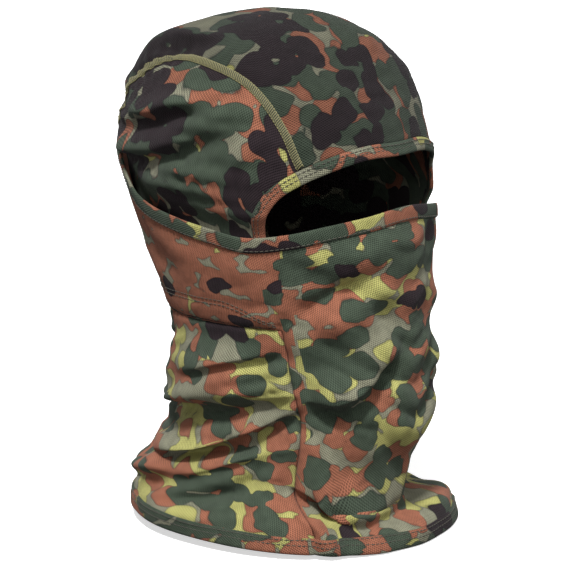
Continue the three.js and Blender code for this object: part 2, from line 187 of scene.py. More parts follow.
# ---- lines on the form ---------------------------------------------------------------------------
EDGE_CURVE = catmull(MASK_EDGE, (-20, 187), (205, 216), 600)


def mask_edge(angle):
    return np.interp(from_front(angle), EDGE_CURVE[:, 0], EDGE_CURVE[:, 1]) * TALL


def side_seam(height):
    rows = np.array(SIDE_SEAM, float)
    return np.interp(height, rows[:, 0] * TALL, rows[:, 1])


class Line:
    """A smooth line through points, by its share of the length."""

    def __init__(self, points):
        points = np.asarray(points, float)
        self.points = catmull(points, mirror_end(points[0], points[1]),
                              mirror_end(points[-1], points[-2]), 900)
        steps = np.linalg.norm(np.diff(self.points, axis=0), axis=1)
        self.along = np.concatenate([[0], np.cumsum(steps)])
        self.length = self.along[-1]

    def __call__(self, share):
        place = np.clip(share, 0, 1) * self.length
        columns = [np.interp(place, self.along, self.points[:, axis]) for axis in range(3)]
        return np.stack(columns, -1)

    def tangent(self, share):
        step = 0.004
        ahead = self(np.minimum(share + step, 1))
        return unit(ahead - self(np.maximum(share - step, 0)))


def form_line(rows):
    rows = np.array(rows, float)
    return Line(on_form(rows[:, 0], rows[:, 1] * TALL))


def beside(line, share, across):
    """Points at a distance to the right of a line, on the form."""
    points = line(share)
    sideways = unit(np.cross(line.tangent(share), normals_at(points)))
    return project(points + sideways * np.asarray(across, float)[..., None])


OPENING = form_line([(-a, h) for a, h in FACE_OPENING[:0:-1]] + FACE_OPENING)


def facing_edge(share):
    """The facing's outer edge on the right, from the brow (0) to the opening's foot (1)."""
    return beside(OPENING, 0.5 + np.asarray(share, float) / 2, FACING)


def crown_seam(side):
    rows = np.array(CROWN_SEAM, float)
    points = np.vstack([facing_edge(np.array([CROWN_SEAM_START])),
                        on_form(rows[:, 0], rows[:, 1] * TALL)])
    line = Line(points)
    return Line(project(line(np.linspace(0, 1, 60))) * np.array([side, 1, 1]))


CROWN_SEAMS = {"right": crown_seam(1), "left": crown_seam(-1)}


def hood_inset(points):
    depth = mask_edge(angle_of(points)) - points[..., 2]
    return HOOD_INSET * smooth(depth, -HOOD_FADE, 0)


# ---- folds ---------------------------------------------------------------------------------------
def fold(points, normals, rows, crest, above, below, droop=0.0):
    """Pushes cloth out along a line: crest is the height along it, above and below are the
    widths of its flanks, and droop leans the crest down over what lies below."""
    line = form_line(rows)
    share = np.linspace(0, 1, 70)
    samples, tangents = line(share), line.tangent(share)
    flat_points = points.reshape(-1, 3)
    flat_normals = normals.reshape(-1, 3)
    near = np.empty(len(flat_points), int)
    for start in range(0, len(flat_points), 4000):
        part = flat_points[start:start + 4000]
        gap = ((part[:, None] - samples[None]) ** 2).sum(-1)
        near[start:start + 4000] = gap.argmin(1)
    side = unit(np.cross(tangents[near], flat_normals))
    side *= np.where(side[:, 2:] < 0, -1, 1)
    away = flat_points - samples[near]
    offset = (away * side).sum(-1)
    distance = np.linalg.norm(away, axis=-1)
    reach = np.where(offset > 0, distance / above, distance / below)
    profile = np.exp(-(reach**2))
    if droop:
        profile -= np.where(offset < 0, 0.42, 0) * np.exp(-(((reach - 2.1) / 0.85) ** 2))
    height = np.interp(share[near], np.linspace(0, 1, len(crest)), crest) * profile
    push = flat_normals * height[:, None]
    push -= side * (droop * np.maximum(height, 0))[:, None]
    return push.reshape(points.shape)


# Each fold: the line that it follows, crest heights along it, flank widths above and below, droop.
NECK_FOLDS = [
    # the roll under the band, from the nape round to the side seam
    ([(215, 76), (180, 72), (140, 73), (120, 76), (100, 80), (78, 87), (58, 94)],
     (0, 6, 9.5, 9, 7.5, 6.5, 5, 1), 9, 4.0, 0.6),
    ([(150, 62), (136, 62), (98, 71), (80, 76), (68, 81), (56, 85)],
     (0, -4, -4, -3.5, -3, 0), 3.4, 5, 0),
    # short tuck at the band's lower edge
    ([(112, 92), (98, 98), (84, 106), (70, 111), (60, 114)], (0, 3.6, 4.4, 3, 0), 5, 3, 0.6),
    # the crisp ridge running down to the nape, and the shadow under it
    ([(138, 36), (122, 43), (100, 54), (76, 70), (58, 82)], (0, 5.5, 9, 8, 2), 9, 4, 0.8),
    ([(118, 34), (103, 42), (82, 55), (68, 65), (59, 72)], (0, -3.5, -4.5, -3.5, 0), 3.5, 6, 0),
    # shorter folds between and below
    ([(128, 56), (106, 64), (84, 77), (70, 85)], (0, 4, 4, 0), 5, 3, 0.6),
    ([(112, 30), (94, 38), (78, 50), (66, 60)], (0, 4, 4.5, 0), 6, 3.4, 0.6),
    # the valley curling down from the side seam
    ([(60, 62), (63, 56), (67, 43), (76, 31), (92, 23), (104, 20)],
     (0, -5, -7, -6, -4, 0), 4.5, 6.5, 0),
    ([(72, 24), (86, 17), (104, 14), (120, 16)], (0, 3, 3, 0), 8, 7, 0),
    ([(132, 28), (120, 30), (100, 40), (84, 46)], (0, 3.5, 3.5, 0), 8, 6, 0.2),
    # the mask's slanting valley, and the soft ridges on both sides of it
    ([(60, 128), (42, 142), (27, 151), (12, 158)], (0, -4.5, -5.0, 0), 4, 6, 0),
    ([(54, 124), (36, 132), (18, 142), (2, 150)], (0, 3.4, 3.0, 0), 8, 8, 0.2),
    ([(40, 163), (20, 168), (0, 170)], (0, 2.0, 0), 10, 10, 0),
    ([(26, 148), (10, 128), (4, 112)], (0, -3.0, 0), 7, 7, 0),
    # the bulge over the chin, its crisp lower edge and the hollow beside it
    ([(55, 87), (42, 88), (28, 97), (14, 112)], (1, 6.5, 6.5, 0), 12, 4.5, 0.55),
    ([(57, 74), (38, 77), (24, 87), (8, 107), (0, 118)], (0, -6, -7.5, -6, 0), 4, 6, 0),
    ([(22, 64), (6, 70), (-10, 72)], (0, 4, 0), 14, 12, 0),
    # the roll hanging over the skirt
    ([(54, 38), (38, 36), (28, 29), (16, 27), (2, 30), (-14, 34), (-34, 37), (-52, 36)],
     (1, 8, 14.5, 15, 12, 7, 2, 0, 0), 14, 3.8, 1.05),
    ([(52, 27), (38, 22), (26, 14), (8, 16), (-8, 19), (-30, 22)],
     (0, -7, -12, -11, -7, 0), 5.5, 7.5, 0),
    # the skirt's upright ripples
    ([(50, 27), (43, 17), (38, 6)], (2, 7, 3), 5, 5, 0),
    ([(36, 20), (33, 12), (31, 4)], (0, -5, -1), 4.5, 4.5, 0),
    ([(26, 16), (21, 9), (18, 3)], (0, 4, 1), 5, 5, 0),
    ([(12, 12), (4, 8), (-8, 6)], (0, 3, 0), 8, 8, 0),
    # the far side, hollow above the hem
    ([(0, 27), (-20, 25), (-45, 23), (-70, 23), (-104, 27)], (0, -14, -20, -18, 0), 18, 10, 0),
    ([(-146, 70), (-120, 78), (-92, 88), (-64, 96)], (0, 6, 5, 0), 10, 5, 0.5),
    ([(-140, 58), (-110, 66), (-84, 76), (-60, 86)], (0, -4, -4, 0), 4.5, 6, 0),
    ([(-132, 34), (-108, 48), (-80, 60), (-58, 68)], (0, 6, 5.5, 0), 9, 4.5, 0.5),
    ([(-58, 60), (-66, 46), (-80, 32), (-100, 24)], (0, -4.5, -4.5, 0), 6, 6, 0),
    ([(-56, 120), (-38, 130), (-20, 140), (-4, 146)], (0, 3, 3, 0), 8, 8, 0.2),
    ([(-56, 78), (-38, 80), (-20, 92), (-6, 108)], (0, -2.5, -2.5, 0), 6, 8, 0),
    ([(-54, 92), (-38, 92), (-22, 102)], (0, 3, 0), 12, 8, 0.2),
    ([(-50, 24), (-44, 14), (-42, 4)], (0, 4, 0), 8, 8, 0),
    # round the nape
    ([(150, 44), (180, 50), (212, 44)], (0, 5, 0), 9, 6, 0.4),
    ([(148, 60), (180, 62), (214, 60)], (0, -3.5, 0), 5, 5, 0),
    ([(140, 98), (170, 92), (200, 96), (226, 104)], (0, 3.5, 3.5, 0), 9, 6, 0.3),
    ([(128, 110), (160, 106), (196, 112)], (0, -2.5, 0), 6, 6, 0),
    ([(140, 22), (165, 16), (190, 22)], (0, 3.5, 0), 9, 8, 0),
    # flatter at the far cheek and beside the nape
    ([(-38, 176), (-40, 150), (-39, 118), (-38, 84)], (0, -1.6, -3.2, 0), 18, 18, 0),
    ([(160, 34), (144, 31), (124, 28)], (0, -8.5, 0), 10, 9, 0),
    ([(146, 106), (141, 80), (138, 58), (138, 38)], (0, -3.4, -4.2, 0), 12, 12, 0),
    ([(-47, 7), (-68, 8), (-92, 8), (-116, 8)], (0, -13, -15, 0), 17, 17, 0),
]
BAND_FOLDS = [
    ([(136, 190), (120, 168), (104, 150), (92, 138)], (0, -1.5, -1.8, 0), 7, 8, 0),
    ([(150, 176), (128, 156), (110, 142)], (0, 1.8, 0), 8, 6, 0.2),
    ([(84, 168), (72, 156), (62, 144)], (0, 1.4, 0), 9, 9, 0),
    ([(118, 176), (98, 164), (78, 160)], (0, 1.6, 0), 8, 6, 0),
    ([(-134, 186), (-112, 160), (-92, 140)], (0, -1.6, 0), 7, 8, 0),
    ([(-150, 170), (-124, 152), (-104, 142)], (0, 1.8, 0), 8, 6, 0.2),
    ([(170, 186), (184, 164), (196, 148)], (0, 2.0, 0), 9, 9, 0),
    ([(148, 212), (141, 184), (139, 160), (142, 134)], (0, -3.0, -3.4, 0), 20, 20, 0),
]
HOOD_FOLDS = [
    ([(150, 208), (126, 208), (104, 213), (86, 224), (72, 232)],
     (0, -4.4, -4.8, -3.2, 0), 3.6, 5, 0),
    ([(150, 216), (122, 218), (102, 223), (84, 234), (64, 241)],
     (0, 5.0, 4.8, 3.2, 0), 6, 3.6, 0.7),
    ([(138, 224), (116, 230), (96, 240), (78, 248)], (0, -3.6, -3.4, 0), 3.6, 5, 0),
    ([(136, 233), (114, 240), (92, 249), (72, 254)], (0, 4.2, 3.8, 0), 6, 3.6, 0.7),
    ([(96, 230), (80, 240), (60, 244)], (0, 2.6, 0), 5, 3, 0.5),
    ([(78, 208), (68, 222), (56, 232)], (0, 1.8, 0), 5, 4, 0.3),
    ([(130, 196), (110, 200), (88, 206), (74, 210)], (0, 1.5, 1.4, 0), 8, 6, 0.2),
    ([(60, 228), (68, 220), (74, 208)], (0, 1.2, 0), 7, 7, 0),
    ([(136, 276), (118, 279), (100, 281), (84, 281)], (0, 3.2, 2.6, 0), 6, 4, 0.5),
    ([(134, 268), (112, 272), (92, 274)], (0, -2.0, 0), 4, 4, 0),
    ([(28, 228), (10, 232), (-12, 231)], (0, 1.1, 0), 9, 9, 0),
    ([(44, 252), (26, 254), (8, 250)], (0, 1.4, 0), 9, 8, 0),
    ([(-150, 212), (-122, 214), (-98, 222), (-76, 234)], (0, 2.4, 2.2, 0), 6, 5, 0.35),
    ([(-146, 204), (-118, 205), (-94, 212)], (0, -2.2, 0), 5, 6, 0),
    ([(-132, 236), (-108, 243), (-86, 250)], (0, 1.8, 0), 6, 5, 0.3),
    ([(176, 250), (184, 232), (178, 214)], (0, 1.6, 0), 9, 9, 0),
    # the crown's fuller far front and back
    ([(10, 278), (-22, 270), (-40, 254), (-45, 228)], (0, 5.2, 5.0, 0), 22, 22, 0),
    ([(110, 286), (136, 270), (150, 244)], (0, 6.5, 0), 16, 16, 0),
]


def folded(points, normals, folds):
    for rows, crest, above, below, droop in folds:
        points = points + fold(points, normals, rows, crest, above, below, droop)
    return points


def lattice_noise(places, seed):
    """Smooth noise from -1 to 1 that repeats every 32 units."""
    grid = np.random.default_rng(seed).uniform(-1, 1, (32, 32, 32))
    whole = np.floor(places).astype(int)
    part = places - whole
    part = part**3 * (part * (part * 6 - 15) + 10)
    total = 0
    for corner in range(8):
        step = np.array([corner & 1, corner >> 1 & 1, corner >> 2 & 1])
        weight = np.prod(np.where(step == 1, part, 1 - part), axis=-1)
        index = (whole + step) % 32
        total = total + weight * grid[index[..., 0], index[..., 1], index[..., 2]]
    return total


# Rumples: slope, length round the head, height and seed, and how far the bulges stand out.
NECK_RUMPLES, NECK_PUFF = (0.26, 60, 12, 3), 6.4
BAND_RUMPLES, BAND_PUFF = (0.5, 40, 17, 11), 1.1
FACE_RUMPLES, FACE_PUFF = (-0.55, 44, 20, 21), 4.2
HOOD_RUMPLES, HOOD_PUFF = (-0.10, 78, 9, 31), 3.4
CREASE_DEPTH = 2.4  # the tube's creases lie this far inside its form


def rumples(points, angle, slope, long, short, seed):
    """Soft bulges parted by narrow creases, from 0 in a crease to about 1. They are long round
    the head and short up it, and climb by slope towards the front."""
    arc = from_front(angle) * 1.25
    lean = points[..., 2] + slope * arc
    places = np.stack([points[..., 0] / long, points[..., 1] / long, lean / short], -1) + 100
    broad = np.abs(lattice_noise(places, seed))
    fine = np.abs(lattice_noise(places * np.array([1.9, 1.9, 1.8]) + 7.7, seed + 1))
    return 1.5 * broad + 0.55 * fine


# ---- the tube as one grid ------------------------------------------------------------------------
FRONT_COLUMNS = 64
BACK_COLUMNS = 160
COLUMNS = FRONT_COLUMNS + BACK_COLUMNS
HEM_ROWS, NECK_ROWS, BAND_ROWS, MASK_HEM_ROWS = 4, 64, 26, 4
NECK_START = HEM_ROWS
BAND_START = NECK_START + NECK_ROWS
FOOT_ROW = BAND_START + BAND_ROWS
ROWS = FOOT_ROW + MASK_HEM_ROWS
STANDOFF = 2.0  # the mask's edge stands off behind the ears


# How far the bottom hem hangs above its lowest level, by angle.
HEM_LIFT = [(-180, 5), (-135, 3), (-90, 1), (-45, 0), (0, 0), (30, 0.8), (60, 2.8), (90, 4.4),
            (130, 5.8), (180, 5)]


def hem_lift(angle):
    rows = np.array(HEM_LIFT, float)
    return np.interp((np.asarray(angle) + 540) % 360 - 180, rows[:, 0], rows[:, 1])


def tube_heights(angle):
    """Heights of all rows at each column's angle."""
    edge = mask_edge(angle)
    foot = hem_lift(angle)
    marks = [foot, foot + BOTTOM_HEM, 0 * edge + BAND_SEAM * TALL, edge - MASK_HEM, edge]
    rows = []
    for low, high, count in zip(marks, marks[1:], (HEM_ROWS, NECK_ROWS, BAND_ROWS, MASK_HEM_ROWS)):
        rows += [low + (high - low) * step / count for step in range(count)]
    return np.stack([*rows, edge], 1)


def tube_grid():
    """Angles and heights of the tube's grid: columns run round it, rows go up."""
    front = np.linspace(-1, 1, FRONT_COLUMNS + 1)
    back = np.linspace(0, 1, BACK_COLUMNS + 1)[1:-1]
    angle = np.concatenate([front * 56, 56 + back * 248])
    for _ in range(2):
        height = tube_heights(angle if angle.ndim == 1 else angle[:, FOOT_ROW])
        seam = side_seam(height)
        angle = np.concatenate([
            front[:, None] * seam[:FRONT_COLUMNS + 1],
            seam[-len(back):] + back[:, None] * (360 - 2 * seam[-len(back):])])
    return angle, height


def grid_normals(points):
    """Outward normals of a grid whose columns run round from the front by the right ear."""
    across = np.roll(points, -1, 0) - np.roll(points, 1, 0)
    return unit(np.cross(np.gradient(points, axis=1), across))


def tube_shape():
    angle, height = tube_grid()
    points = on_form(angle, height)
    normals = normals_at(points)
    edge = mask_edge(angle)
    turn = from_front(angle)
    rise = STANDOFF * smooth(height, edge - 26, edge)
    lift = rise * smooth(turn, 80, 104) * (1 - smooth(turn, 116, 138))
    points = points + normals * lift[..., None]
    out = normals.copy()
    out[..., 2] *= 0.3
    out = unit(out)
    points = folded(points, out, NECK_FOLDS)
    points = folded(points, out, BAND_FOLDS)
    behind = smooth(turn, 52, 66)
    neck = smooth(height, BOTTOM_HEM, 24) * (1 - smooth(height, BAND_SEAM - 22, BAND_SEAM - 4))
    band = smooth(height, BAND_SEAM, BAND_SEAM + 10) * (1 - smooth(height, edge - 22, edge - 8))
    face = smooth(height, 6, 20) * (1 - smooth(height, edge - 20, edge - 6)) * (1 - behind)
    base = on_form(angle, height)
    bulge = rumples(base, angle, *NECK_RUMPLES) * NECK_PUFF * neck * behind
    bulge += rumples(base, angle, *BAND_RUMPLES) * BAND_PUFF * band * behind
    bulge += rumples(base, angle, *FACE_RUMPLES) * FACE_PUFF * face
    drawn_in = CREASE_DEPTH * (neck * behind + face)
    return angle, height, points + out * (bulge - drawn_in)[..., None], out


CLOTH_FRAMES = 22
CUT_LONGER = (1.02, 1.02, 1.05)  # the cut cloth against its shape, across and up
NECK_HOLD, BAND_HOLD, HEM_HOLD = 0.55, 0.7, 1.0  # how firmly each part keeps its place


def add_object(name, data):
    item = bpy.data.objects.new(name, data)
    bpy.context.scene.collection.objects.link(item)
    return item


def cloth_settle(points):
    """Lets the tube's cloth, cut a little longer than its shape, buckle between its hems."""
    count = COLUMNS * (ROWS + 1)
    flat = points.reshape(count, 3) * 0.001
    mesh = bpy.data.meshes.new("tube_cloth")
    mesh.from_pydata(flat.tolist(), [], grid_faces(COLUMNS, ROWS, True))
    piece = add_object("tube_cloth", mesh)
    piece.shape_key_add(name="Basis")
    longer = piece.shape_key_add(name="cut")
    longer.data.foreach_set("co", (flat * np.array(CUT_LONGER)).ravel())
    row = np.tile(np.arange(ROWS + 1), COLUMNS)
    hold = np.full(count, NECK_HOLD)
    hold[row > BAND_START] = BAND_HOLD
    hold[row <= HEM_ROWS] = HEM_HOLD
    hold[row >= FOOT_ROW] = HEM_HOLD
    group = piece.vertex_groups.new(name="hold")
    for weight in np.unique(hold):
        group.add(np.flatnonzero(hold == weight).tolist(), float(weight), "REPLACE")
    cloth = piece.modifiers.new("cloth", "CLOTH")
    settings = cloth.settings
    settings.vertex_group_mass = "hold"
    settings.rest_shape_key = longer
    settings.quality = 6
    settings.mass = 0.2
    settings.tension_stiffness = 25
    settings.compression_stiffness = 25
    settings.shear_stiffness = 8
    settings.bending_stiffness = 0.25
    settings.pin_stiffness = 1.0
    settings.air_damping = 4
    settings.effector_weights.gravity = 0
    scene = bpy.context.scene
    scene.frame_start, scene.frame_end = 1, CLOTH_FRAMES
    for step in range(1, CLOTH_FRAMES + 1):
        scene.frame_set(step)
    settled = piece.evaluated_get(bpy.context.evaluated_depsgraph_get())
    result = np.empty(count * 3)
    settled.data.vertices.foreach_get("co", result)
    scene.frame_set(1)
    bpy.data.objects.remove(piece)
    bpy.data.meshes.remove(mesh)
    return result.reshape(points.shape) * 1000


DEEPEST = -24.0  # how far the cloth may lie inside its form
DEEPEST_COVERED = -1.4  # and where the hood lies behind it
FURTHEST = 14.0  # how far it may lie outside its form
LOWEST = 0.3  # above the bottom hem's level


def keep_clear(points, angle, height, normals):
    """Holds the tube outside the hood where they overlap, near its form and off the floor."""
    base = on_form(angle, height)
    out = ((points - base) * normals).sum(-1)
    covered = smooth(height, NAPE_SEAM - 16, NAPE_SEAM - 2)
    opening = 1 - smooth(from_front(angle), 50, 60)
    deepest = DEEPEST + (DEEPEST_COVERED - DEEPEST) * covered * (1 - 0.75 * opening)
    limited = np.clip(out, deepest, FURTHEST)
    held = points + normals * (limited - out)[..., None]
    held[..., 2] = np.maximum(held[..., 2], LOWEST)
    return held


# ---- meshes --------------------------------------------------------------------------------------
def grid_faces(columns, rows, ring):
    """Quads of a grid with rows + 1 points in each column."""
    faces = []
    last = columns if ring else columns + 1
    for i in range(columns):
        for j in range(rows):
            a = i * (rows + 1) + j
            b = ((i + 1) % last) * (rows + 1) + j
            faces.append((a, a + 1, b + 1, b))
    return faces


def to_frame(points):
    """Millimetres above the bottom hem to metres in the frame."""
    return np.asarray(points, float).reshape(-1, 3) * 0.001 + np.array([0, 0, HEM_Z])


def make_piece(name, points, faces, material, uv=None):
    """A smooth object from points in millimetres, with its print's places in uv."""
    mesh = bpy.data.meshes.new(name)
    mesh.from_pydata(to_frame(points).tolist(), [], faces)
    if uv is not None:
        layer = mesh.uv_layers.new(name="UVMap")
        loops = np.empty(len(mesh.loops), int)
        mesh.loops.foreach_get("vertex_index", loops)
        layer.data.foreach_set("uv", (np.asarray(uv).reshape(-1, 2) * 0.001)[loops].ravel())
    mesh.polygons.foreach_set("use_smooth", [True] * len(mesh.polygons))
    mesh.materials.append(material)
    mesh.update()
    return add_object(name, mesh)


def thicken(piece):
    """Smooths a single layer of points and gives it the cloth's thickness, inwards."""
    subdivide = piece.modifiers.new("smooth", "SUBSURF")
    subdivide.levels = subdivide.render_levels = 1
    solid = piece.modifiers.new("thickness", "SOLIDIFY")
    solid.thickness = CLOTH * 0.001
    solid.offset = -1
    return piece


def grid_piece(name, points, uv, material):
    faces = grid_faces(points.shape[0] - 1, points.shape[1] - 1, False)
    return thicken(make_piece(name, points, faces, material, uv))


def ring_uv(points):
    """Arc lengths along a grid's columns and rows, in millimetres, for the print and the knit."""
    across = np.linalg.norm(np.diff(points, axis=0), axis=-1).mean(1)
    along = np.linalg.norm(np.diff(points, axis=1), axis=-1).mean(0)
    u = np.concatenate([[0], np.cumsum(across)])
    v = np.concatenate([[0], np.cumsum(along)])
    return np.stack(np.meshgrid(u, v, indexing="ij"), -1)


def sweep(name, rails, material, ring):
    """A closed bar: rails[i, j] is the point i along it and j round its section."""
    count, around = rails.shape[:2]
    faces = []
    for i in range(count if ring else count - 1):
        for j in range(around):
            a, b = i * around, ((i + 1) % count) * around
            k = (j + 1) % around
            faces.append((a + j, a + k, b + k, b + j))
    if not ring:
        faces.append(tuple(range(around - 1, -1, -1)))
        faces.append(tuple((count - 1) * around + j for j in range(around)))
    step = np.linalg.norm(np.diff(rails.mean(1), axis=0), axis=-1)
    along = np.concatenate([[0], np.cumsum(step)])
    girth = np.linalg.norm(np.roll(rails, -1, 1) - rails, axis=-1).mean(0)
    round_uv = np.concatenate([[0], np.cumsum(girth)[:-1]])
    uv = np.stack(np.meshgrid(along, round_uv, indexing="ij"), -1)
    return face_outwards(make_piece(name, rails, faces, material, uv))


def face_outwards(piece):
    """Turns a closed piece's faces outwards."""
    work = bmesh.new()
    work.from_mesh(piece.data)
    bmesh.ops.recalc_face_normals(work, faces=work.faces)
    work.to_mesh(piece.data)
    work.free()
    return piece


def round_threads(name, centre, side, up, thick, material):
    """Closed round threads in one piece: thread i runs through the points centre[i], and thick
    is its radius at each of them."""
    count, steps = centre.shape[:2]
    sides = 6
    turn = np.arange(sides) * 2 * math.pi / sides
    rings = (centre[:, :, None]
             + side[:, :, None] * (np.cos(turn)[:, None] * thick[:, None, None])
             + up[:, :, None] * (np.sin(turn)[:, None] * thick[:, None, None]))
    faces = []
    for thread_index in range(count):
        base = thread_index * steps * sides
        for i in range(steps - 1):
            for j in range(sides):
                k = (j + 1) % sides
                a, b = base + i * sides, base + (i + 1) * sides
                faces.append((a + j, a + k, b + k, b + j))
        faces.append(tuple(base + j for j in range(sides - 1, -1, -1)))
        faces.append(tuple(base + (steps - 1) * sides + j for j in range(sides)))
    return face_outwards(make_piece(name, rings, faces, material))


STITCH_RISE = 0.28  # a stitch's middle above its path
STITCH_SINK = 0.12  # its ends below it


def stitches(name, path, normals, material, ring, pitch=STITCH_PITCH, length=2.3,
             radius=THREAD_RADIUS):
    """Single stitches laid along a path, each dipping into the cloth at both ends."""
    closed = np.vstack([path, path[:1]]) if ring else path
    lifted = np.vstack([normals, normals[:1]]) if ring else normals
    along = np.concatenate([[0], np.cumsum(np.linalg.norm(np.diff(closed, axis=0), axis=1))])
    count = int(along[-1] / pitch)
    share = np.linspace(0, 1, 5)
    start = np.arange(count)[:, None] * along[-1] / count
    place = start + share * length
    centre = np.stack([np.interp(place, along, closed[:, a]) for a in range(3)], -1)
    up = unit(np.stack([np.interp(place, along, lifted[:, a]) for a in range(3)], -1))
    forward = unit(np.gradient(centre, axis=1))
    side = unit(np.cross(forward, up))
    height = STITCH_RISE * np.sin(math.pi * share) ** 0.6 - STITCH_SINK
    centre = centre + up * height[:, None]
    thick = radius * np.array([0.55, 1, 1, 1, 0.55])
    return round_threads(name, centre, side, up, thick, material)


# ---- materials -----------------------------------------------------------------------------------
GREY = (0.225, 0.222, 0.155)
SAGE = (0.40, 0.385, 0.130)
BROWN = (0.305, 0.116, 0.068)
DARK = (0.056, 0.076, 0.052)
BLACK = (0.023, 0.015, 0.018)
OLIVE = (0.225, 0.205, 0.085)
SHADE = (0.050, 0.052, 0.026)
# The next colour is painted shade: near-black for the stitch rows, whose thread is olive.
STITCH_SHADE = (0.055, 0.05, 0.035)


class Look:
    """One printed colour: the spacing of its spots, the share of them that is printed, how much
    that depends on the place and on the single spot, and how the share grows away from u = 0."""

    def __init__(self, tint, cover, size=0.0125, patchy=0.7, own=1.0, aside=0.0):
        self.tint, self.cover, self.size, self.patchy = tint, cover, size, patchy
        self.own, self.aside = own, aside


class Nodes:
    """Short names for building one material's node tree."""

    def __init__(self, name):
        self.material = bpy.data.materials.new(name)
        self.material.use_nodes = True
        self.tree = self.material.node_tree
        self.tree.nodes.clear()

    def add(self, kind, **values):
        node = self.tree.nodes.new(kind)
        for key, value in values.items():
            setattr(node, key, value)
        return node

    def join(self, source, target):
        self.tree.links.new(source, target)

    def put(self, target, value):
        if isinstance(value, bpy.types.NodeSocket):
            self.join(value, target)
        else:
            target.default_value = value

    def maths(self, operation, first, second=0.0, third=0.0):
        node = self.add("ShaderNodeMath", operation=operation)
        for target, value in zip(node.inputs, (first, second, third)):
            self.put(target, value)
        return node.outputs[0]

    def vector(self, operation, first, second=(0, 0, 0)):
        node = self.add("ShaderNodeVectorMath", operation=operation)
        if operation == "SCALE":
            self.put(node.inputs[0], first)
            self.put(node.inputs["Scale"], second)
        else:
            self.put(node.inputs[0], first)
            self.put(node.inputs[1], second)
        return node.outputs[0]

    def noise(self, vector, scale, detail=1.0):
        node = self.add("ShaderNodeTexNoise")
        self.put(node.inputs["Vector"], vector)
        node.inputs["Scale"].default_value = scale
        node.inputs["Detail"].default_value = detail
        return node.outputs["Fac"], node.outputs["Color"]

    def ease(self, value, low, high, bottom=0.0, top=1.0):
        node = self.add("ShaderNodeMapRange", interpolation_type="SMOOTHSTEP")
        for target, number in zip(node.inputs, (value, low, high, bottom, top)):
            self.put(target, number)
        return node.outputs[0]

    def mix(self, share, first, second, blend="MIX"):
        node = self.add("ShaderNodeMix", data_type="RGBA", blend_type=blend)
        self.put(node.inputs[0], share)
        self.put(node.inputs[6], first if not isinstance(first, tuple) else (*first, 1))
        self.put(node.inputs[7], second if not isinstance(second, tuple) else (*second, 1))
        return node.outputs[2]


def blobs(nodes, place, place_across, look, seed):
    """Rounded spots that merge with their neighbours: 0 outside, rising to over 1 inside."""
    scaled = nodes.vector("ADD", nodes.vector("SCALE", place, 1 / look.size), seed)
    total = None
    for feature in ("F1", "F2"):
        cells = nodes.add("ShaderNodeTexVoronoi", voronoi_dimensions="2D", feature=feature)
        cells.inputs["Scale"].default_value = 1
        cells.inputs["Randomness"].default_value = 0.62
        nodes.put(cells.inputs["Vector"], scaled)
        drift, _ = nodes.noise(cells.outputs["Position"], 0.30, 0.0)
        split = nodes.add("ShaderNodeSeparateColor")
        nodes.join(cells.outputs["Color"], split.inputs[0])
        drift = nodes.maths("MULTIPLY", nodes.maths("SUBTRACT", drift, 0.5), look.patchy)
        single = nodes.maths("SUBTRACT", split.outputs[0], 0.5)
        chance = nodes.maths("MULTIPLY_ADD", single, look.own, nodes.maths("ADD", drift, 0.5))
        if look.aside:
            across = nodes.maths("ABSOLUTE", place_across)
            aside = nodes.ease(across, 0.062, 0.09, 0, look.aside)
            chance = nodes.maths("SUBTRACT", chance, aside)
        printed = nodes.maths("LESS_THAN", chance, look.cover)
        reach = nodes.maths("DIVIDE", cells.outputs["Distance"], 0.68)
        field = nodes.maths("SUBTRACT", 1, nodes.maths("MULTIPLY", reach, reach))
        field = nodes.maths("MULTIPLY", nodes.maths("MAXIMUM", field, 0), printed)
        total = field if total is None else nodes.maths("ADD", total, field)
    return total


KNIT_PITCH = 0.0008  # metres


def knit_height(nodes, place):
    """The mesh knit: staggered holes, 0 in a hole and 1 on the yarn."""
    turned = nodes.add("ShaderNodeVectorRotate", rotation_type="Z_AXIS")
    nodes.put(turned.inputs["Vector"], place)
    turned.inputs["Angle"].default_value = math.radians(24)
    split = nodes.add("ShaderNodeSeparateXYZ")
    nodes.join(turned.outputs[0], split.inputs[0])
    waves = []
    for axis, stretch in (("X", 1.0), ("Y", 1.35)):
        phase = nodes.maths("MULTIPLY", split.outputs[axis], math.pi / (KNIT_PITCH * stretch) * 1.15)
        waves.append(nodes.maths("SINE", phase))
    product = nodes.maths("MULTIPLY", *waves)
    return nodes.ease(product, -0.9, 0.55)


def finish_material(nodes, values, colour=None, height=None, strength=0, depth=0):
    """A principled surface with constant values, and a linked colour and bump if given."""
    shader = nodes.add("ShaderNodeBsdfPrincipled")
    for key, value in values.items():
        shader.inputs[key].default_value = value
    if colour is not None:
        bump = nodes.add("ShaderNodeBump")
        bump.inputs["Strength"].default_value = strength
        bump.inputs["Distance"].default_value = depth
        nodes.join(height, bump.inputs["Height"])
        nodes.join(colour, shader.inputs["Base Color"])
        nodes.join(bump.outputs[0], shader.inputs["Normal"])
    output = nodes.add("ShaderNodeOutputMaterial")
    nodes.join(shader.outputs[0], output.inputs["Surface"])
    return nodes.material


PRINT_STRETCH = (0.86, 1.12, 1)  # round the head and up it


